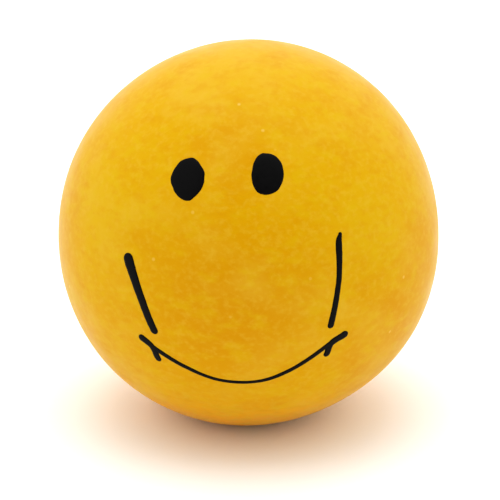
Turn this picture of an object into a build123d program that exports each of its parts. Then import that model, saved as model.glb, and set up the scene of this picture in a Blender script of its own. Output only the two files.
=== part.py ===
from build123d import *
from math import asin, cos, degrees, radians, sin, sqrt
import os

# A stress ball: flour packed into a tied latex balloon, under a second latex balloon whose neck
# is cut off, with a simple face drawn on it in marker ink.
# Millimetres. +Z is up and the face looks along -Y. The origin is the centre of the small flat
# patch that the ball's own weight presses into its underside.

# Driving dimensions of the ball
BALL_RADIUS = 35.0       # outside of the stretched outer balloon
BELT_HEIGHT = 0.8        # the packed ball stands this much taller than it is wide
REST_RADIUS = 8.0        # flat patch on the underside
HEEL_RADIUS = 12.0       # bend between the flat patch and the round side
OUTER_WALL = 0.4         # latex of the outer balloon
INNER_WALL = 0.4         # latex of the inner balloon

# The inner balloon's neck, tied off on the lower back of the ball
NECK_DROP = 25.0         # degrees that the neck points below level
NECK_RADIUS = 2.2        # latex gathered into the knot
GATHER_RADIUS = 6.5      # foot of the gathered cone, where it leaves the round of the ball
GATHER_DEPTH = 1.6       # how deep the cone is rooted before the ball is hollowed out
KNOT_START = 36.2        # from the ball's centre, along the neck
KNOT_END = 43.0
KNOT_TURNS = [           # height along the neck, tilt in degrees, radius of the turn, radius of its roll
    (38.9, 14.0, 2.6, 2.0),
    (40.5, -12.0, 2.3, 1.8),
]
TAIL_RADIUS = 2.0        # squeezed end of the tail, at the knot
TAIL_WALL = 0.5
TAIL_PLUG = 1.5          # length of the tail that the knot squeezes shut
MOUTH_HEIGHT = 51.5      # mouth of the balloon, from the ball's centre, along the neck
MOUTH_RADIUS = 5.2
BEAD_RADIUS = 0.9        # rolled bead round the mouth

# Cut opening of the outer balloon, round the knot
OPENING_RADIUS = 9.0
RIM_RADIUS = 0.55        # the cut edge curls into a small roll
RIM_GAP = 0.02

# Marker ink: azimuths run from -Y towards +X and elevations up from level, in degrees
INK_DEPTH = 0.15
EYES = {                 # direction, width, height, lean in degrees
    "left_eye": ((-15.3, 33.4), 6.1, 7.3, 4.0),
    "right_eye": ((11.3, 35.8), 5.2, 7.4, -3.0),
}
LINES = {                # start, middle, end, width
    "left_cheek_line": ((-31.0, 8.7), (-26.2, -2.9), (-23.0, -11.2), 1.7),
    "right_cheek_line": ((32.2, 17.2), (30.7, 5.0), (28.6, -8.7), 1.1),
    "left_dimple": ((-27.4, -15.0), (-24.5, -17.1), (-23.6, -21.1), 1.4),
    "right_dimple": ((28.6, -18.5), (29.5, -14.6), (33.2, -12.8), 1.4),
}
SMILE = ((-24.4, -17.1), (1.6, -27.3), (29.4, -14.6), 0.8)

# Places worked out from the dimensions above
heel_reach = BALL_RADIUS - HEEL_RADIUS
low_centre = BALL_RADIUS - (heel_reach - sqrt(heel_reach**2 - REST_RADIUS**2))
high_centre = low_centre + BELT_HEIGHT
heel_angle = degrees(asin((low_centre - HEEL_RADIUS) / heel_reach))
neck_low = radians(NECK_DROP)
neck_root = Vector(0, 0, low_centre)
neck_direction = Vector(0, cos(neck_low), -sin(neck_low))
neck_axis = Axis(neck_root, neck_direction)
neck_section = Plane(neck_root, x_dir=(1, 0, 0), z_dir=(0, sin(neck_low), cos(neck_low)))


def ball_section(inset):
    """Half of the ball's upright section, drawn this far inside its outer surface."""
    radius = BALL_RADIUS - inset
    with BuildSketch(Plane.XZ) as section:
        with BuildLine():
            Line((0, inset), (REST_RADIUS, inset))
            CenterArc((REST_RADIUS, HEEL_RADIUS), HEEL_RADIUS - inset, -90, 90 - heel_angle)
            CenterArc((0, low_centre), radius, -heel_angle, heel_angle)
            Line((radius, low_centre), (radius, high_centre))
            CenterArc((0, high_centre), radius, 0, 90)
            Line((0, high_centre + radius), (0, inset))
        make_face()
    return section.sketch


def neck_plane(height):
    """Plane square to the neck, this far along it from the ball's centre."""
    return Plane(neck_root + neck_direction * height, x_dir=(1, 0, 0), z_dir=neck_direction)


def height_on_ball(radius, reach):
    """Height along the neck at which a circle round it lies on a sphere of the given radius."""
    return sqrt(radius**2 - reach**2)


def face_direction(azimuth, elevation):
    """Unit vector from the ball's centre to a place on its face."""
    across = radians(azimuth)
    rise = radians(elevation)
    return Vector(sin(across) * cos(rise), -cos(across) * cos(rise), sin(rise))


def face_plane(place):
    """Plane through the ball's centre that faces the given place, with its Y axis upwards."""
    outward = face_direction(*place)
    level = Vector(0, 0, 1).cross(outward).normalized()
    return Plane((0, 0, (low_centre + high_centre) / 2), x_dir=level, z_dir=outward)


def pen_line(start, middle, end, width):
    """A bowed pen stroke of even width, with round ends, lying on the ball."""
    plane = face_plane(middle)
    centre = plane.origin
    points = [centre + face_direction(*place) * BALL_RADIUS for place in (start, middle, end)]
    flat = [plane.to_local_coords(point) for point in points]
    bow = ThreePointArc(*[(point.X, point.Y) for point in flat], mode=Mode.PRIVATE)
    with BuildPart() as line:
        with BuildSketch(plane):
            SlotArc(bow, width)
        extrude(amount=BALL_RADIUS * 2)
        add(ink_skin.part, mode=Mode.INTERSECT)
    return line.part


# Packed flour that fills the inner balloon
with BuildPart() as filling:
    revolve(ball_section(OUTER_WALL + INNER_WALL), axis=Axis.Z)
filling.part.label = "filling"

# Inner balloon: a thin skin round the filling, gathered into a cone at its neck
with BuildPart() as inner_balloon:
    revolve(ball_section(OUTER_WALL), axis=Axis.Z)
    gather_angle = asin(GATHER_RADIUS / (BALL_RADIUS - OUTER_WALL))
    gather_height = height_on_ball(BALL_RADIUS - OUTER_WALL, GATHER_RADIUS)
    with BuildSketch(neck_section):
        with BuildLine():
            Line((0, gather_height - GATHER_DEPTH), (GATHER_RADIUS, gather_height - GATHER_DEPTH))
            Line((GATHER_RADIUS, gather_height - GATHER_DEPTH), (GATHER_RADIUS, gather_height))
            TangentArc(
                (GATHER_RADIUS, gather_height),
                (NECK_RADIUS, KNOT_START),
                tangent=(-cos(gather_angle), sin(gather_angle)),
            )
            Line((NECK_RADIUS, KNOT_START), (0, KNOT_START))
            Line((0, KNOT_START), (0, gather_height - GATHER_DEPTH))
        make_face()
    revolve(axis=neck_axis)
    revolve(ball_section(OUTER_WALL + INNER_WALL), axis=Axis.Z, mode=Mode.SUBTRACT)
inner_balloon.part.label = "inner_balloon"

# Knot: the neck wrapped round itself and drawn tight
with BuildPart() as neck_knot:
    with BuildSketch(neck_plane(KNOT_START)):
        Circle(NECK_RADIUS)
    extrude(amount=KNOT_END - KNOT_START)
    for turn_height, turn_tilt, turn_radius, roll_radius in KNOT_TURNS:
        with Locations(Location(neck_plane(turn_height).rotated((turn_tilt, 0, 0)))):
            Torus(turn_radius, roll_radius)
neck_knot.part.label = "neck_knot"

# Tail: the balloon's mouth beyond the knot, a thin flared tube with a rolled bead
with BuildPart() as neck_tail:
    with BuildSketch(neck_section):
        with BuildLine():
            Line((0, KNOT_END), (TAIL_RADIUS, KNOT_END))
            TangentArc((TAIL_RADIUS, KNOT_END), (MOUTH_RADIUS, MOUTH_HEIGHT), tangent=(0, 1))
            Line((MOUTH_RADIUS, MOUTH_HEIGHT), (MOUTH_RADIUS - TAIL_WALL, MOUTH_HEIGHT))
            TangentArc(
                (TAIL_RADIUS - TAIL_WALL, KNOT_END + TAIL_PLUG),
                (MOUTH_RADIUS - TAIL_WALL, MOUTH_HEIGHT),
                tangent=(0, 1),
            )
            Line((TAIL_RADIUS - TAIL_WALL, KNOT_END + TAIL_PLUG), (0, KNOT_END + TAIL_PLUG))
            Line((0, KNOT_END + TAIL_PLUG), (0, KNOT_END))
        make_face()
        with Locations((MOUTH_RADIUS, MOUTH_HEIGHT)):
            Circle(BEAD_RADIUS)
    revolve(axis=neck_axis)
neck_tail.part.label = "neck_tail"

# Outer balloon: the yellow skin, open round the knot, with its cut edge rolled
with BuildPart() as outer_balloon:
    revolve(ball_section(0), axis=Axis.Z)
    revolve(ball_section(OUTER_WALL), axis=Axis.Z, mode=Mode.SUBTRACT)
    with BuildSketch(neck_plane(0)):
        Circle(OPENING_RADIUS)
    extrude(amount=BALL_RADIUS * 2, mode=Mode.SUBTRACT)
    rim_distance = BALL_RADIUS - OUTER_WALL + RIM_RADIUS + RIM_GAP
    with BuildSketch(neck_section):
        with Locations((OPENING_RADIUS, height_on_ball(rim_distance, OPENING_RADIUS))):
            Circle(RIM_RADIUS)
    revolve(axis=neck_axis)
outer_balloon.part.label = "outer_balloon"

# Thin skin just outside the outer balloon, from which every ink mark is cut
with BuildPart() as ink_skin:
    revolve(ball_section(-INK_DEPTH), axis=Axis.Z)
    revolve(ball_section(0), axis=Axis.Z, mode=Mode.SUBTRACT)

pieces = [filling, inner_balloon, neck_knot, neck_tail, outer_balloon]
marks = []

# Two filled oval eyes
for name, (place, width, height, lean) in EYES.items():
    with BuildPart() as eye:
        with BuildSketch(face_plane(place)):
            Ellipse(width / 2, height / 2, rotation=lean)
        extrude(amount=BALL_RADIUS * 2)
        add(ink_skin.part, mode=Mode.INTERSECT)
    eye.part.label = name
    marks.append(eye.part)

# Cheek lines, and the dimples that end the smile
for name, (start, middle, end, width) in LINES.items():
    line = pen_line(start, middle, end, width)
    line.label = name
    marks.append(line)

# The smile, one thin bowed line that stops against the dimples
with BuildPart() as smile:
    add(pen_line(*SMILE))
    for mark in marks:
        if mark.label.endswith("dimple"):
            add(mark, mode=Mode.SUBTRACT)
smile.part.label = "smile"
marks.append(smile.part)

os.makedirs("parts", exist_ok=True)
for part in [piece.part for piece in pieces] + marks:
    export_step(part, f"parts/{part.label}.step")
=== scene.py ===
from math import asin, atan2, cos, pi, radians, sin, sqrt

import bmesh
import bpy
import numpy as np
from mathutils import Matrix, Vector, noise


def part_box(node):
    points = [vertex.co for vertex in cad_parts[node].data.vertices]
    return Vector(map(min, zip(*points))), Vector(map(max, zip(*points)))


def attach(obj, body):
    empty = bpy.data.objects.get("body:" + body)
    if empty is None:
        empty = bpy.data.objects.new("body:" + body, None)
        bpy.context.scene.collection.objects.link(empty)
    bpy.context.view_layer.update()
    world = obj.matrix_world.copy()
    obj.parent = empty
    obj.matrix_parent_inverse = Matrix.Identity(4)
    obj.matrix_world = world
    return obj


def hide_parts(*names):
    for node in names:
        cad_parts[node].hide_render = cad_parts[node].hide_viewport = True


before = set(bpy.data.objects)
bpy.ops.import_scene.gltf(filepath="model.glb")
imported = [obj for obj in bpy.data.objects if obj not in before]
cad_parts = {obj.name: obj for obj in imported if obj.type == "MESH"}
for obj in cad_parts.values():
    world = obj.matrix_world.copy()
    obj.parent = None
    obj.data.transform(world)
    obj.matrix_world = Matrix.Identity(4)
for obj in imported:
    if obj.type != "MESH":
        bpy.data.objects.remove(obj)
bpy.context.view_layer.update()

# A flour-filled balloon stress ball. Lengths are metres in the frame's axes. A place on the ball
# is an azimuth, from -Y towards +X, and an elevation above level, both in degrees.
MM = 0.001
FULL_TURN = 2 * pi

# The ball, read from the frame
skin_low, skin_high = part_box("outer_balloon")
fill_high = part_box("filling")[1]
RADIUS = (skin_high.x - skin_low.x) / 2
TALLER = 0.4 * MM                     # how much further the ball reaches up and down than round
CENTRE = np.array([0, 0, skin_high.z - RADIUS - TALLER])
WALLS = skin_high.z - fill_high.z     # both balloons together
OUTER_WALL = WALLS / 2
SETTLE = 1.0 * MM                     # how softly the underside bends into its flat patch
BIG_DENT = 0.10 * MM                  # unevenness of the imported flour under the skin
BIG_DENT_SPREAD = 0.45                # size of such a dent, as a share of the ball's radius
SMALL_DENT = 0.025 * MM
SMALL_DENT_SPREAD = 0.14              # about the width of a small lump of flour

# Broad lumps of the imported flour: place, height, spread in degrees
LUMPS = [
    ((133, 58), 0.30 * MM, 26),
    ((95, 0), -0.28 * MM, 24),
    ((-75, -45), 0.34 * MM, 24),
    ((60, -58), -0.30 * MM, 22),
    ((78, -24), 0.18 * MM, 18),
    ((-90, 30), -0.12 * MM, 40),
    ((170, 10), 0.22 * MM, 28),
    ((-140, -12), -0.20 * MM, 24),
]

# The skins' own nets and walls
CELLS = 40                            # cells along each side of a ball's net
OUTER_SKIN = 0.30 * MM
INNER_SKIN = 0.25 * MM
CRUMBS = 0.06 * MM                    # depth of the flour's crumbly surface
CRUMB_SPREAD = 0.06                   # size of a crumb, as a share of the ball's radius

# The neck, tied on the lower back: its own axes, with Z along the neck
NECK_DROP = radians(25)
NECK = np.array([0, cos(NECK_DROP), -sin(NECK_DROP)])
NECK_SIDE = np.array([1.0, 0, 0])
NECK_UP = np.cross(NECK, NECK_SIDE)
NECK_AXES = np.array([NECK_SIDE, NECK_UP, NECK])
KNOT_START = 36.2 * MM                # from the ball's centre, along the neck
KNOT_END = 43.0 * MM
MOUTH = 51.5 * MM
MOUTH_RADIUS = 5.2 * MM
MOUTH_WALL = 0.28 * MM
BEAD = 0.675 * MM                     # roll of latex round the mouth

# The outer balloon's opening. Uneven edges are waves: (count in a turn, height, phase) for each.
OPENING = 9.0 * MM
CURL = 0.36 * MM                      # roll of the cut edge
CURL_WAVES = ((3, 0.04 * MM, 1.0), (8, 0.03 * MM, 0.2))
CUT_EDGE = ((2, 0.35 * MM, 0.8), (3, 0.18 * MM, 2.1), (7, 0.10 * MM, 0.3), (11, 0.05 * MM, 4.0))
PULL_FOLDS = ((9, 0.045 * MM, 0.5), (14, 0.035 * MM, 2.2), (23, 0.02 * MM, 1.1))
FOLD_REACH = 3.5 * MM                 # how far the pull folds run from the opening

# The inner balloon, gathered up to the knot
GATHER_FOOT = 8.0 * MM
WAIST = 2.0 * MM
KNOT_ROOT = 1.6 * MM                  # how far the gathered skin reaches into the knot
PLEATS = ((13, 0.45, 0.3), (19, 0.30, 1.9), (29, 0.16, 4.4))
PLEAT_DEPTH = 0.55 * MM
PLEAT_SWAY = 0.30 * MM

# The tied neck: mm in the neck's axes, with the neck's thickness there
KNOT_PATH = (
    (0.0, 0.0, 35.4, 2.1), (0.1, 0.1, 37.0, 1.9), (1.0, 0.3, 38.4, 1.7), (2.5, 1.2, 39.3, 1.7),
    (1.6, 2.9, 39.9, 1.9), (-1.2, 2.9, 39.9, 2.0), (-3.0, 0.7, 39.3, 1.9), (-2.2, -2.0, 38.9, 1.9),
    (0.4, -2.9, 39.3, 1.9), (2.4, -1.6, 40.2, 1.7), (1.6, 0.2, 41.0, 1.6), (0.3, 0.2, 42.2, 1.7),
    (0.0, 0.0, 43.6, 1.9),
)
KNOT_STEPS = 150
KNOT_SIDES = 40

# The balloon's mouth: creases at the knot and a limp, uneven lip
TAIL_ROOT = 0.5 * MM                  # how far the tail reaches into the knot
TAIL_SQUEEZE = 1.55 * MM              # the tail's radius at the knot
TAIL_BORE = 0.35 * MM                 # the least radius of its inside
TAIL_STEPS = 26
TAIL_SIDES = 128
TAIL_CREASES = ((7, 0.144, 0.4), (11, 0.090, 2.0), (17, 0.054, 1.0))
LIP_OVAL = ((2, 0.16, 0.7), (3, 0.05, 2.0))
LIP_RIPPLE = ((5, 0.03, 1.0),)
LIP_LIMP = ((3, 0.55 * MM, 0.4), (5, 0.30 * MM, 2.2))
LIP_DROOP = 0.9 * MM

# Marker ink
INK = 0.07 * MM                       # how far the dried ink stands up
INK_EDGE = 0.015 * MM                 # its thickness at the edge
INK_ROOT = 0.12 * MM                  # how far its film reaches into the skin, so no gap shows
PEN_STEP = 0.28 * MM
PEN_COLUMNS = 9
PEN_ENDS = np.radians([15, 30, 46, 62, 78])
EYE_CELLS = 26
EYES = {                              # width, height, waves of the hand-drawn outline
    "left_eye": (6.0 * MM, 7.1 * MM, (
        (1, 0.020, -2.5), (2, 0.045, 2.0), (3, 0.010, -2.5), (4, 0.025, -0.5),
        (7, 0.014, 2.7), (11, 0.006, 1.0), (16, 0.004, 0.5))),
    "right_eye": (5.3 * MM, 7.5 * MM, (
        (1, 0.025, 2.5), (2, 0.045, -1.0), (3, 0.025, 0.5), (4, 0.020, -2.5),
        (6, 0.004, 0.5), (9, 0.005, 2.0), (14, 0.004, 0.0))),
}
LINES = {                             # places along the pen's path, with the width there in mm
    "left_cheek_line": (
        (-31.0, 8.7, 2.10), (-28.4, 3.0, 1.75), (-26.0, -3.0, 1.60), (-23.0, -11.2, 1.50),
    ),
    "right_cheek_line": (
        (32.2, 17.2, 0.70), (31.4, 14.5, 1.20), (30.7, 5.0, 1.00), (28.6, -8.7, 1.20),
    ),
    "left_dimple": ((-27.6, -14.8, 1.50), (-24.6, -17.2, 1.30), (-23.5, -21.2, 1.30)),
    "right_dimple": ((28.6, -18.5, 1.20), (29.6, -14.8, 1.30), (33.4, -12.7, 1.50)),
    "smile": (
        (-24.4, -17.1, 1.00), (-15.0, -22.4, 0.90), (-4.5, -26.6, 0.75), (7.5, -26.9, 0.75),
        (17.0, -23.2, 0.85), (29.4, -14.6, 0.95),
    ),
}


# ---------------------------------------------------------------- shapes

def toward(azimuth, elevation):
    """Unit vector from the ball's centre to a place."""
    across, rise = radians(azimuth), radians(elevation)
    return np.array([sin(across) * cos(rise), -cos(across) * cos(rise), sin(rise)])


def unit(vectors):
    return vectors / np.linalg.norm(vectors, axis=-1, keepdims=True)


def cloud(points, size, seed):
    """Smooth noise from -1 to 1 at each point, in clouds of about this size."""
    shift = Vector((seed * 7.3, seed * 3.1, seed * 5.7))
    return np.array([noise.noise(Vector(point) / size + shift) for point in points])


def waves(turn, parts):
    """A closed uneven wave round one turn: (count, height, phase) for each part."""
    return sum(height * np.cos(count * turn + phase) for count, height, phase in parts)


def from_neck(points):
    """Points given in the neck's axes, from the ball's centre, in the frame's axes."""
    return CENTRE + np.asarray(points, float) @ NECK_AXES


def on_ball(directions, inset=0.0):
    """Points of the lumpy, settled ball in these directions, this far under its skin."""
    directions = unit(np.asarray(directions, float))
    level = (directions[:, 0] ** 2 + directions[:, 1] ** 2) / RADIUS**2
    reach = 1 / np.sqrt(level + directions[:, 2] ** 2 / (RADIUS + TALLER) ** 2)
    for place, height, spread in LUMPS:
        angle = np.arccos(np.clip(directions @ toward(*place), -1, 1))
        reach += height * np.exp(-((angle / radians(spread)) ** 2))
    reach += BIG_DENT * cloud(directions, BIG_DENT_SPREAD, 1)
    reach += SMALL_DENT * cloud(directions, SMALL_DENT_SPREAD, 2)
    points = CENTRE + directions * (reach - inset)[:, None]
    rise = points[:, 2] - inset
    bend = (rise + SETTLE) ** 2 / (4 * SETTLE)
    points[:, 2] = inset + np.where(rise > SETTLE, rise, np.where(rise < -SETTLE, 0, bend))
    return points


def band(outer, inner):
    """Faces between two closed rows of points of the same length."""
    count = len(outer)
    return [(outer[i], outer[(i + 1) % count], inner[(i + 1) % count], inner[i])
            for i in range(count)]


def add_ring(rows, faces, ring, points):
    """Adds a closed row of points, joined to the ring before it."""
    total = sum(len(row) for row in rows)
    rows.append(points)
    new_ring = range(total, total + len(points))
    faces.extend(band(ring, new_ring))
    return new_ring


def stacked_rings(rows):
    """Faces of a closed tube of equal rows of points, with a lid on each end."""
    sides, last = len(rows[0]), len(rows) - 1
    faces = []
    for i in range(last):
        faces += band(range(i * sides, (i + 1) * sides), range((i + 1) * sides, (i + 2) * sides))
    return faces + [tuple(range(sides - 1, -1, -1)), tuple(range(last * sides, (last + 1) * sides))]


def ball_net(rings=0, hole=None):
    """A net of even four-sided cells over the ball, as directions in the neck's axes.

    With a hole, which gives the hole's angle from the neck at each turn about it, the side that
    faces the neck runs in rings to that hole. Returns directions, faces and the hole's edge.
    """
    steps = np.tan(np.linspace(-pi / 4, pi / 4, CELLS + 1))
    sides = [
        ((1, 0, 0), (0, 0, 1), (0, -1, 0)), ((0, 1, 0), (0, 0, 1), (1, 0, 0)),
        ((-1, 0, 0), (0, 0, 1), (0, 1, 0)), ((0, -1, 0), (0, 0, 1), (-1, 0, 0)),
        ((1, 0, 0), (0, -1, 0), (0, 0, -1)), ((1, 0, 0), (0, 1, 0), (0, 0, 1)),
    ]
    directions, faces, known = [], [], {}

    def corner(direction):
        """Number of the net's point in this direction, the same for every cell that meets there."""
        direction = unit(np.array(direction, float))
        key = tuple(np.round(direction, 5) + 0.0)
        if key not in known:
            known[key] = len(directions)
            directions.append(direction)
        return known[key]

    for right, up, out in sides if hole is None else sides[:-1]:
        right, up, out = np.array(right), np.array(up), np.array(out)
        grid = [[corner(out + right * u + up * v) for u in steps] for v in steps]
        for row in range(CELLS):
            for col in range(CELLS):
                faces.append((grid[row][col], grid[row][col + 1],
                              grid[row + 1][col + 1], grid[row + 1][col]))
    if hole is None:
        return np.array(directions), faces, []

    turns = [FULL_TURN * step / (4 * CELLS) for step in range(4 * CELLS)]
    edge = []
    for turn in turns:
        flat = np.array([cos(turn), sin(turn)])
        edge.append(corner((*(flat / abs(flat).max()), 1)))
    start = list(edge)
    for ring in range(1, rings + 1):
        # the rings lie closer together towards the hole
        share = 1 - (1 - ring / rings) ** 1.6
        inner = []
        for turn, outer in zip(turns, start):
            wide = np.arccos(directions[outer][2])
            angle = wide + (hole(turn) - wide) * share
            directions.append(np.array([sin(angle) * cos(turn), sin(angle) * sin(turn), cos(angle)]))
            inner.append(len(directions) - 1)
        faces += band(edge, inner)
        edge = inner
    return np.array(directions), faces, edge


def smooth_path(points, count):
    """Evenly spaced points of a smooth curve through the given ones."""
    points = np.asarray(points, float)
    padded = np.vstack([2 * points[0] - points[1], points, 2 * points[-1] - points[-2]])
    fine = []
    for i in range(1, len(padded) - 2):
        a, b, c, d = padded[i - 1:i + 3]
        for t in np.linspace(0, 1, 24, endpoint=False):
            fine.append(0.5 * (2 * b + (c - a) * t + (2 * a - 5 * b + 4 * c - d) * t**2
                               + (3 * b - a - 3 * c + d) * t**3))
    fine = np.vstack([fine, points[-1:]])
    run = np.concatenate([[0], np.cumsum(np.linalg.norm(np.diff(fine, axis=0), axis=1))])
    even = np.linspace(0, run[-1], count)
    return np.column_stack([np.interp(even, run, fine[:, k]) for k in range(fine.shape[1])])


def make_piece(name, points, faces, node, material):
    """A smooth-shaded piece that rides on the ball and stands for its CAD node."""
    mesh = bpy.data.meshes.new(name)
    mesh.from_pydata([tuple(point) for point in points], [], [tuple(face) for face in faces])
    mesh.validate()
    net = bmesh.new()
    net.from_mesh(mesh)
    bmesh.ops.recalc_face_normals(net, faces=net.faces)
    net.to_mesh(mesh)
    net.free()
    mesh.polygons.foreach_set("use_smooth", [True] * len(mesh.polygons))
    mesh.materials.append(material)
    piece = bpy.data.objects.new(name, mesh)
    bpy.context.scene.collection.objects.link(piece)
    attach(piece, "root")
    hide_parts(node)
    return piece


def apply_modifiers(piece):
    """Makes the modified shape the piece's own mesh."""
    graph = bpy.context.evaluated_depsgraph_get()
    mesh = bpy.data.meshes.new_from_object(piece.evaluated_get(graph))
    piece.modifiers.clear()
    piece.data = mesh
    mesh.polygons.foreach_set("use_smooth", [True] * len(mesh.polygons))


def thicken(piece, thickness, even):
    """Gives a skin its wall, towards the inside, and rounds its net."""
    wall = piece.modifiers.new("wall", "SOLIDIFY")
    wall.thickness, wall.offset, wall.use_even_offset = thickness, -1, even
    smooth = piece.modifiers.new("smooth", "SUBSURF")
    smooth.levels = smooth.render_levels = 1
    apply_modifiers(piece)


# ---------------------------------------------------------------- materials

MIX_AMOUNT, MIX_UNDER, MIX_OVER, MIX_RESULT = 0, 6, 7, 2   # the colour mix's sockets

# Shades of each latex: the thick closed end, the body, stretched thin, and the lemon tint. The change
# from the deep closed end to the body is partly painted light, and the pale shade also gives the
# painted light on the crown.
DEEP, BODY, PALE, LEMON = range(4)
OUTER_SHADES = ("#CD9202", "#D1A204", "#D6AE36", "#D0AC0E")
INNER_SHADES = ("#C28404", "#C89206", "#CEA032", "#C89C0E")
# painted bounce light: the brighter, stronger amber given to the underside
PAINTED_BOUNCE_AMBER = "#E8A102"
DUST = "#F2D88A"
# the closed end, at the middle of the face; the paling of the yellow away from here is partly painted
# light
DEEP_MIDDLE = CENTRE + RADIUS * toward(0, -4)

# The first patch, pale on the crown, is painted light: it lightens the top where the overhead light
# falls.
PATCHES = (                           # place, reach, strength and shade of each uneven patch
    ((0, 74), 12 * MM, 0.30, PALE), ((-46, 20), 11 * MM, 0.40, LEMON),
    ((-25, 59), 5 * MM, 0.45, PALE), ((58, 50), 8 * MM, 0.35, PALE),
    ((-2, 42), 9 * MM, 0.50, DEEP), ((42, 16), 9 * MM, 0.30, LEMON),
    ((66, 6), 9 * MM, 0.55, DEEP), ((50, -17), 14 * MM, 0.85, DEEP),
    ((-44, -20), 12 * MM, 0.40, DEEP), ((-62, 6), 9 * MM, 0.35, DEEP),
    ((-50, -50), 9 * MM, 0.40, DEEP), ((125, 35), 16 * MM, 0.50, LEMON),
    ((-155, 45), 18 * MM, 0.40, PALE), ((165, 12), 14 * MM, 0.45, DEEP),
    ((-110, -20), 14 * MM, 0.45, LEMON), ((92, -35), 10 * MM, 0.40, DEEP),
)
PATCH_WARP = 18 * MM                  # how far noise pushes the patches' edges about
PATCH_WARP_SIZE = 9 * MM
PIGMENT_CLOUDS = (                    # size, squash in height, range used, strength, shade
    (14.0 * MM, 1.1, 0.46, 0.74, 0.45, PALE),
    (8.0 * MM, 2.0, 0.48, 0.74, 0.45, DEEP),
    (4.0 * MM, 1.8, 0.45, 0.72, 0.45, LEMON),
    (2.2 * MM, 1.8, 0.45, 0.72, 0.34, DEEP),
    (1.2 * MM, 1.2, 0.42, 0.74, 0.36, PALE),
)


def colour(code):
    """Linear colour from an sRGB hex code."""
    parts = [int(code[i:i + 2], 16) / 255 for i in (1, 3, 5)]
    return (*[p / 12.92 if p <= 0.04045 else ((p + 0.055) / 1.055) ** 2.4 for p in parts], 1.0)


def add(tree, kind, inputs=(), **settings):
    """Adds a node with its settings; an input is a value or another node's output."""
    node = tree.nodes.new(kind)
    for setting, value in settings.items():
        setattr(node, setting, value)
    for socket, value in dict(inputs).items():
        if isinstance(value, bpy.types.NodeSocket):
            tree.links.new(value, node.inputs[socket])
        else:
            node.inputs[socket].default_value = value
    return node


def new_material(name):
    """An empty node material, with the place on the object that its patterns start from."""
    material = bpy.data.materials.new(name)
    material.use_nodes = True
    tree = material.node_tree
    tree.nodes.clear()
    return material, tree, add(tree, "ShaderNodeTexCoord").outputs["Object"]


def colour_patches(tree, place, patches):
    """Soft patches of deeper, paler and lemon yellow at the given places: the strength and shade of
    each patch.
    """
    warp = add(tree, "ShaderNodeTexNoise", {
        "Vector": place, "Scale": 1 / PATCH_WARP_SIZE, "Detail": 3.0, "Roughness": 0.6,
    })
    pushed = add(tree, "ShaderNodeVectorMath", {
        0: warp.outputs["Color"], 1: (PATCH_WARP, PATCH_WARP, PATCH_WARP), 2: place,
    }, operation="MULTIPLY_ADD")
    found = []
    for where, reach, strength, shade in patches:
        # the noise pushes every way by half the warp on average, so the middle moves with it
        middle = CENTRE + RADIUS * toward(*where) + PATCH_WARP / 2
        span = add(tree, "ShaderNodeVectorMath", {
            0: pushed.outputs["Vector"], 1: tuple(middle),
        }, operation="DISTANCE")
        amount = add(tree, "ShaderNodeMapRange", {
            "Value": span.outputs["Value"], "From Min": 1.3 * reach, "From Max": 0.3 * reach,
            "To Max": strength,
        }, interpolation_type="SMOOTHSTEP")
        found.append((amount.outputs["Result"], shade))
    return found


def pigment_clouds(tree, place):
    """Soft clouds and finer mottling in the pigment: the strength and shade of each layer."""
    found = []
    for size, squash, low, high, strength, shade in PIGMENT_CLOUDS:
        flat = add(tree, "ShaderNodeVectorMath", {0: place, 1: (1, 1, squash)}, operation="MULTIPLY")
        drift = add(tree, "ShaderNodeTexNoise", {
            "Vector": flat.outputs["Vector"], "Scale": 1 / size, "Detail": 3.0, "Roughness": 0.55,
        })
        amount = add(tree, "ShaderNodeMapRange", {
            "Value": drift.outputs["Fac"], "From Min": low, "From Max": high, "To Max": strength,
        }, interpolation_type="SMOOTHSTEP")
        found.append((amount.outputs["Result"], shade))
    return found


def dust_specks(tree, place):
    """How strongly dust shows: 0.5 mm specks, coarser than real dust so that they show."""
    specks = add(tree, "ShaderNodeTexVoronoi", {"Vector": place, "Scale": 1 / (2.2 * MM)})
    near = add(tree, "ShaderNodeMapRange", {
        "Value": specks.outputs["Distance"], "From Min": 0.18, "From Max": 0.08,
    })
    chance = add(tree, "ShaderNodeSeparateColor", {"Color": specks.outputs["Color"]})
    few = add(tree, "ShaderNodeMapRange", {
        "Value": chance.outputs["Red"], "From Min": 0.97, "From Max": 1.0, "To Max": 0.35,
    })
    return add(tree, "ShaderNodeMath", {
        0: near.outputs["Result"], 1: few.outputs["Result"],
    }, operation="MULTIPLY").outputs["Value"]


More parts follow.
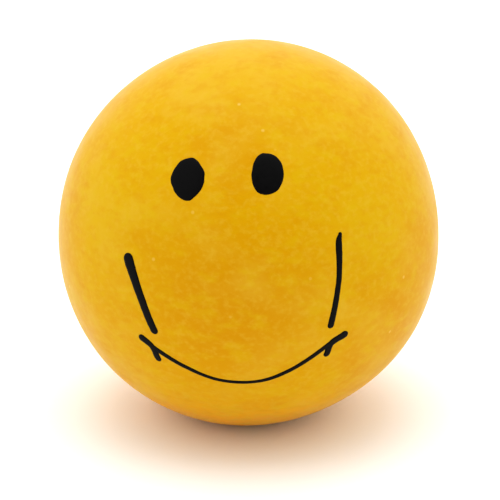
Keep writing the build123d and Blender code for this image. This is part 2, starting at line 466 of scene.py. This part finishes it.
def dipped_latex(name, codes, patches, roughness, ripple_strength):
    """Natural rubber latex, dip moulded and stretched: satin, with cloudy pigment.

    The skin stays thickest, and so deepest in colour, at the balloon's closed end, which carries
    the face. Away from it the yellow pales. This paling is partly painted light: a paler top and
    sides stand in for the overhead light and the bright room's reflection. The underside gets
    a painted bounce light of brighter amber. Over all lie soft clouds with finer mottling.
    """
    material, tree, place = new_material(name)
    shades = [colour(code) for code in codes]

    # distance from the closed end, through the ball; the yellow's paling with this distance is partly
    # painted light
    apart = add(tree, "ShaderNodeVectorMath", {0: place, 1: tuple(DEEP_MIDDLE)}, operation="DISTANCE")
    thin = add(tree, "ShaderNodeMapRange", {
        "Value": apart.outputs["Value"], "From Min": 3 * MM, "From Max": 27 * MM,
    }, interpolation_type="SMOOTHSTEP")
    # painted bounce light: towards the floor the yellow turns a brighter, stronger amber, standing in
    # for warm light bounced between floor and ball
    height = add(tree, "ShaderNodeSeparateXYZ", {"Vector": place})
    under = add(tree, "ShaderNodeMapRange", {
        "Value": height.outputs["Z"], "From Min": 17 * MM, "From Max": 3 * MM, "To Max": 0.9,
    }, interpolation_type="SMOOTHSTEP")

    layers = [(thin.outputs["Result"], shades[BODY])]
    if patches:
        layers += [(amount, shades[shade]) for amount, shade in colour_patches(tree, place, patches)]
    layers += [(under.outputs["Result"], colour(PAINTED_BOUNCE_AMBER))]
    layers += [(amount, shades[shade]) for amount, shade in pigment_clouds(tree, place)]
    layers += [(dust_specks(tree, place), colour(DUST))]
    yellow = shades[DEEP]
    for amount, tint in layers:
        yellow = add(tree, "ShaderNodeMix", {
            MIX_AMOUNT: amount, MIX_UNDER: yellow, MIX_OVER: tint,
        }, data_type="RGBA").outputs[MIX_RESULT]

    # the dip leaves a fine skin texture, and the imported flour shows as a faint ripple
    fine = add(tree, "ShaderNodeTexNoise", {
        "Vector": place, "Scale": 1 / (0.7 * MM), "Detail": 3.0, "Roughness": 0.6,
    })
    grain = add(tree, "ShaderNodeBump", {
        "Height": fine.outputs["Fac"], "Strength": 0.25, "Distance": 0.02 * MM,
    })
    soft = add(tree, "ShaderNodeTexNoise", {
        "Vector": place, "Scale": 1 / (5 * MM), "Detail": 3.0, "Roughness": 0.5,
    })
    ripple = add(tree, "ShaderNodeBump", {
        "Height": soft.outputs["Fac"], "Strength": ripple_strength, "Distance": 0.15 * MM,
        "Normal": grain.outputs["Normal"],
    })
    # handling leaves some places a little shinier than others
    handled = add(tree, "ShaderNodeMapRange", {
        "Value": soft.outputs["Fac"], "From Min": 0.3, "From Max": 0.7,
        "To Min": roughness - 0.06, "To Max": roughness + 0.06,
    })
    shader = add(tree, "ShaderNodeBsdfPrincipled", {
        "Base Color": yellow, "Roughness": handled.outputs["Result"], "IOR": 1.52,
        "Specular IOR Level": 0.05, "Sheen Weight": 0.04, "Sheen Roughness": 0.3,
        "Normal": ripple.outputs["Normal"],
    })
    add(tree, "ShaderNodeOutputMaterial", {"Surface": shader.outputs["BSDF"]})
    return material


def marker_ink():
    """Black alcohol marker ink, dried on latex: a thin film with a soft shine, and pen streaks."""
    material, tree, place = new_material("dried_marker_ink")
    streaks = add(tree, "ShaderNodeTexNoise", {
        "Vector": place, "Scale": 1 / (0.9 * MM), "Detail": 3.0, "Roughness": 0.6,
    })
    black = add(tree, "ShaderNodeMix", {
        MIX_AMOUNT: streaks.outputs["Fac"], MIX_UNDER: colour("#030303"), MIX_OVER: colour("#0B0A0B"),
    }, data_type="RGBA")
    dull = add(tree, "ShaderNodeMapRange", {
        "Value": streaks.outputs["Fac"], "From Min": 0.3, "From Max": 0.7,
        "To Min": 0.38, "To Max": 0.55,
    })
    uneven = add(tree, "ShaderNodeBump", {
        "Height": streaks.outputs["Fac"], "Strength": 0.3, "Distance": 0.02 * MM,
    })
    shader = add(tree, "ShaderNodeBsdfPrincipled", {
        "Base Color": black.outputs[MIX_RESULT], "Roughness": dull.outputs["Result"], "IOR": 1.48,
        "Specular IOR Level": 0.10, "Normal": uneven.outputs["Normal"],
    })
    add(tree, "ShaderNodeOutputMaterial", {"Surface": shader.outputs["BSDF"]})
    return material


def packed_flour():
    """Wheat flour pressed into a ball: cream, quite matt, with a crumbly grain."""
    material, tree, place = new_material("packed_wheat_flour")
    crumbs = add(tree, "ShaderNodeTexNoise", {
        "Vector": place, "Scale": 1 / (1.2 * MM), "Detail": 6.0, "Roughness": 0.7,
    })
    cream = add(tree, "ShaderNodeMix", {
        MIX_AMOUNT: crumbs.outputs["Fac"], MIX_UNDER: colour("#E4D8BC"), MIX_OVER: colour("#F6F0E0"),
    }, data_type="RGBA")
    rough = add(tree, "ShaderNodeBump", {
        "Height": crumbs.outputs["Fac"], "Strength": 0.7, "Distance": 0.2 * MM,
    })
    shader = add(tree, "ShaderNodeBsdfPrincipled", {
        "Base Color": cream.outputs[MIX_RESULT], "Roughness": 0.92, "IOR": 1.5,
        "Normal": rough.outputs["Normal"],
    })
    add(tree, "ShaderNodeOutputMaterial", {"Surface": shader.outputs["BSDF"]})
    return material


outer_latex = dipped_latex("dip_moulded_latex_outer", OUTER_SHADES, PATCHES, 0.37, 0.30)
inner_latex = dipped_latex("dip_moulded_latex_inner", INNER_SHADES, (), 0.42, 0.35)
ink = marker_ink()
flour = packed_flour()


# ---------------------------------------------------------------- balloons and filling

def outer_balloon():
    """The yellow skin, with its cut edge curled outwards round the opening at the neck."""
    directions, faces, edge = ball_net(
        rings=20, hole=lambda turn: asin((OPENING + waves(turn, CUT_EDGE)) / RADIUS))
    outward = directions @ NECK_AXES
    points = on_ball(outward)
    turn = np.arctan2(directions[:, 1], directions[:, 0])
    from_neck_axis = RADIUS * np.sin(np.arccos(np.clip(directions[:, 2], -1, 1)))
    near = np.where(directions[:, 2] > 0, np.exp(-(from_neck_axis - OPENING) / FOLD_REACH), 0)
    # the folds are strongest at the opening and fade into the round of the ball
    points += outward * (waves(turn, PULL_FOLDS) * np.minimum(near, 1.2))[:, None]

    # the cut edge rolls outwards and back under itself
    rows, ring = [points], edge
    normal = outward[edge]
    inward = unit(NECK - normal * (normal @ NECK)[:, None])
    curl = CURL + waves(turn[edge], CURL_WAVES)
    for angle in np.radians(np.linspace(25, 285, 11)):
        offset = normal * (1 - cos(angle)) + inward * sin(angle)
        ring = add_ring(rows, faces, ring, points[edge] + offset * curl[:, None])
    skin = make_piece("outer_skin", np.vstack(rows), faces, "outer_balloon",
                      outer_latex)
    thicken(skin, OUTER_SKIN, even=True)


def inner_balloon():
    """The inner skin: smooth under the outer one, and gathered in pleats up to the knot."""
    directions, faces, edge = ball_net(
        rings=18, hole=lambda turn: asin(GATHER_FOOT / (RADIUS - OUTER_WALL)))
    points = on_ball(directions @ NECK_AXES, OUTER_WALL)
    turn = np.arctan2(directions[edge][:, 1], directions[edge][:, 0])
    folds = waves(turn, PLEATS)
    start = (points[edge] - CENTRE) @ NECK_AXES.T
    reach = np.hypot(start[:, 0], start[:, 1])
    lift = start[:, 2] + (reach - WAIST) * 0.24
    top = KNOT_START + KNOT_ROOT
    rows, ring = [points], edge
    for share in np.linspace(0, 1, 19)[1:]:
        # a curve from the ball's round, bent in at the waist, to the knot
        foot, bend, head = (1 - share) ** 2, 2 * share * (1 - share), share**2
        across = foot * reach + bend * WAIST + head * WAIST
        along = foot * start[:, 2] + bend * lift + head * top
        across = across + folds * PLEAT_DEPTH * share**0.8 * (1 - 0.35 * share)
        along = along + folds * PLEAT_SWAY * bend
        pleated = np.column_stack([across * np.cos(turn), across * np.sin(turn), along])
        ring = add_ring(rows, faces, ring, from_neck(pleated))
    skin = make_piece("inner_skin", np.vstack(rows), faces, "inner_balloon",
                      inner_latex)
    thicken(skin, INNER_SKIN, even=False)


def filling():
    """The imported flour: the ball's shape with a crumbly surface."""
    directions, faces, _ = ball_net()
    outward = directions @ NECK_AXES
    points = on_ball(outward, WALLS)
    points -= outward * (CRUMBS * (1 + cloud(directions, CRUMB_SPREAD, 5)))[:, None]
    make_piece("flour_fill", points, faces, "filling", flour)


# ---------------------------------------------------------------- knot and tail

def neck_knot():
    """The neck tied on itself: a folded latex rope in a tight turn, fused where it touches."""
    path = smooth_path(KNOT_PATH, KNOT_STEPS)
    centre, thick = path[:, :3] * MM, path[:, 3] * MM
    along = unit(np.gradient(centre, axis=0))
    side = np.array([0.0, 1.0, 0.0])
    around = np.linspace(0, FULL_TURN, KNOT_SIDES, endpoint=False)
    rows = []
    for i in range(KNOT_STEPS):
        side = unit(side - along[i] * (side @ along[i]))
        other = np.cross(along[i], side)
        # five soft lobes and eight fine folds wind along the rope
        lobes = 0.95 + 0.10 * np.abs(np.sin(2.5 * (around + 0.05 * i)))
        folds = 0.05 * np.cos(8 * around + 0.7 * i)
        reach = thick[i] * (lobes + folds)
        rows.append(centre[i] + np.outer(reach * np.cos(around), side)
                    + np.outer(reach * np.sin(around), other))
    knot = make_piece("tied_knot", from_neck(np.vstack(rows)), stacked_rings(rows), "neck_knot",
                      inner_latex)
    fuse = knot.modifiers.new("fuse", "REMESH")
    fuse.mode, fuse.voxel_size, fuse.use_smooth_shade = "VOXEL", 0.14 * MM, True
    soften = knot.modifiers.new("soften", "SMOOTH")
    soften.factor, soften.iterations = 0.5, 3
    apply_modifiers(knot)


def neck_tail():
    """The balloon's mouth beyond the knot: a limp flared tube with a rolled bead."""
    turn = np.linspace(0, FULL_TURN, TAIL_SIDES, endpoint=False)
    start = KNOT_END - TAIL_ROOT
    length = MOUTH - start
    outer = [(TAIL_SQUEEZE + (MOUTH_RADIUS - TAIL_SQUEEZE) * share**1.5, start + length * share)
             for share in np.linspace(0, 1, TAIL_STEPS)]
    bead = [(MOUTH_RADIUS + BEAD * cos(angle), MOUTH + BEAD * sin(angle))
            for angle in np.radians(np.linspace(-60, 200, 15))]
    # the inside runs back from the mouth and stops short of the knot
    inner = [(max(radius - MOUTH_WALL, TAIL_BORE), height) for radius, height in outer[-2:3:-1]]
    rows = []
    for radius, height in outer[:-1] + bead + inner:
        share = min(max((height - start) / length, 0), 1.1)
        oval = 1 + share * waves(turn, LIP_OVAL)
        gathered = max(1 - share, 0) ** 1.2
        pleat = 1 + gathered * waves(turn, TAIL_CREASES) + share * waves(turn, LIP_RIPPLE)
        limp = share**2 * waves(turn, LIP_LIMP)
        reach = radius * oval * pleat
        rows.append(np.column_stack([
            reach * np.cos(turn), reach * np.sin(turn) - LIP_DROOP * share**2, height + limp]))
    make_piece("balloon_mouth", from_neck(np.vstack(rows)), stacked_rings(rows), "neck_tail",
               inner_latex)


# ---------------------------------------------------------------- the drawn face

def film(name, rows):
    """A closed film of ink: rows of places on the ball, each with the height of ink there.

    Its top and its underside share the points round its edge.
    """
    width = len(rows[0][0])
    top = [on_ball(places) + unit(places) * heights[:, None] for places, heights in rows]
    root = [on_ball(places, INK_ROOT) for places, _ in rows]
    points = list(np.vstack(top))
    below = list(range(len(points)))
    for row in range(1, len(rows) - 1):
        for col in range(1, width - 1):
            below[row * width + col] = len(points)
            points.append(root[row][col])
    faces = []
    for row in range(len(rows) - 1):
        for col in range(width - 1):
            first = row * width + col
            cell = (first, first + 1, first + width + 1, first + width)
            faces += [cell, tuple(below[corner] for corner in cell[::-1])]
    make_piece(name + "_ink", points, faces, name, ink)


def pen_line(name, places):
    """One stroke of the marker: an uneven ribbon of ink with rounded ends."""
    guide = np.array([(*toward(azimuth, elevation) * RADIUS, width * MM)
                      for azimuth, elevation, width in places])
    length = np.linalg.norm(np.diff(guide[:, :3], axis=0), axis=1).sum()
    count = int(length / PEN_STEP)
    path = smooth_path(guide, count)
    centre, half = unit(path[:, :3]), path[:, 3] / 2
    along = unit(np.gradient(path[:, :3], axis=0))

    # each edge of the stroke wobbles on its own, slowly and finely
    run = np.zeros((count, 3))
    run[:, 0] = np.linspace(0, length, count)
    seed = len(name) + len(places)
    left, right = [
        half * (1 + 0.07 * cloud(run, 1.1 * MM, seed + edge)
                + 0.04 * cloud(run, 0.45 * MM, seed + 9 + edge))
        for edge in (0, 5)
    ]
    # where each row of the ribbon lies: point on the path, push past the end, narrowing
    steps = [(0, -half[0] * sin(tilt), cos(tilt)) for tilt in PEN_ENDS[::-1]]
    steps += [(index, 0.0, 1.0) for index in range(count)]
    steps += [(count - 1, half[-1] * sin(tilt), cos(tilt)) for tilt in PEN_ENDS]
    columns = np.linspace(-1, 1, PEN_COLUMNS)
    rows = []
    for index, push, narrow in steps:
        middle = centre[index] * RADIUS + along[index] * push
        side = np.cross(centre[index], along[index])
        edge = np.where(columns < 0, left[index], right[index])
        heights = INK_EDGE + INK * (1 - columns**4) * (0.4 + 0.6 * narrow)
        rows.append((middle + np.outer(columns * edge * narrow, side), heights))
    film(name, rows)


def eye(name, width, height, uneven):
    """One filled oval, drawn round and scribbled in."""
    low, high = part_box(name)
    middle = unit(np.array((low + high) / 2) - CENTRE)
    level = unit(np.cross(np.array([0, 0, 1.0]), middle))
    upward = np.cross(middle, level)
    rows = []
    for v in np.linspace(-1, 1, EYE_CELLS + 1):
        places, heights = [], []
        for u in np.linspace(-1, 1, EYE_CELLS + 1):
            # a square net bent into a disc
            x, y = u * sqrt(1 - v * v / 2), v * sqrt(1 - u * u / 2)
            stretch = 1 + waves(atan2(y, x), uneven)
            places.append(middle * RADIUS + level * (x * stretch * width / 2)
                          + upward * (y * stretch * height / 2))
            heights.append(INK_EDGE + INK * (1 - sqrt(x * x + y * y) ** 6))
        rows.append((np.array(places), np.array(heights)))
    film(name, rows)


outer_balloon()
inner_balloon()
filling()
neck_knot()
neck_tail()
for name, places in LINES.items():
    pen_line(name, places)
for name, shape in EYES.items():
    eye(name, *shape)


# ---------------------------------------------------------------- floor, light and camera

def pale_card():
    """Plain white card, quite matt."""
    material, tree, _ = new_material("pale_card")
    shader = add(tree, "ShaderNodeBsdfPrincipled", {
        "Base Color": colour("#FFFFFF"), "Roughness": 0.9, "Specular IOR Level": 0.0,
    })
    add(tree, "ShaderNodeOutputMaterial", {"Surface": shader.outputs["BSDF"]})
    return material


bpy.ops.mesh.primitive_plane_add(size=8)
floor = bpy.context.object
floor.name = "floor"
floor.data.materials.append(pale_card())

# White walls all round, with a darker part of the room in front of the ball
WALL_STRENGTH, DARK_STRENGTH = 1.2, 0.35
DARK_MIDDLE = toward(7, 28)
DARK_EDGE, DARK_CORE = radians(48), radians(22)
world = bpy.data.worlds.new("studio")
bpy.context.scene.world = world
world.use_nodes = True
room = world.node_tree
outlook = add(room, "ShaderNodeTexCoord")
facing = add(room, "ShaderNodeVectorMath", {
    0: outlook.outputs["Generated"], 1: tuple(DARK_MIDDLE),
}, operation="DOT_PRODUCT")
dark = add(room, "ShaderNodeMapRange", {
    "Value": facing.outputs["Value"], "From Min": cos(DARK_EDGE), "From Max": cos(DARK_CORE),
    "To Min": WALL_STRENGTH, "To Max": DARK_STRENGTH,
}, interpolation_type="SMOOTHSTEP")
room.links.new(dark.outputs["Result"], room.nodes["Background"].inputs["Strength"])
room.nodes["Background"].inputs["Color"].default_value = colour("#FFFFFF")

# One broad soft light overhead
lamp_data = bpy.data.lights.new("overhead", "AREA")
lamp_data.shape, lamp_data.size, lamp_data.energy = "SQUARE", 0.6, 1.6
lamp = bpy.data.objects.new("overhead", lamp_data)
lamp.location = (0.0, 0.02, 0.75)
lamp.rotation_euler = (Vector(CENTRE) - lamp.location).to_track_quat("-Z", "Y").to_euler()
bpy.context.scene.collection.objects.link(lamp)

# The camera looks slightly down at the face, a little from its left-hand side
VIEW_TURN, VIEW_RISE = 5, 20
DISTANCE = 345 * MM
AIM_RIGHT, AIM_DOWN = 0.2 * MM, 3.1 * MM
back = Vector(toward(VIEW_TURN, VIEW_RISE))
right = Vector((cos(radians(VIEW_TURN)), sin(radians(VIEW_TURN)), 0))
upward = back.cross(right)
camera_data = bpy.data.cameras.new("camera")
camera_data.lens, camera_data.sensor_width = 135.0, 36.0
camera = bpy.data.objects.new("camera", camera_data)
camera.location = Vector(CENTRE) + right * AIM_RIGHT - upward * AIM_DOWN + back * DISTANCE
camera.rotation_euler = (-back).to_track_quat("-Z", "Y").to_euler()
bpy.context.scene.collection.objects.link(camera)
bpy.context.scene.camera = camera
bpy.context.scene.view_settings.view_transform = "Standard"
bpy.context.scene.view_settings.look = "Medium High Contrast"
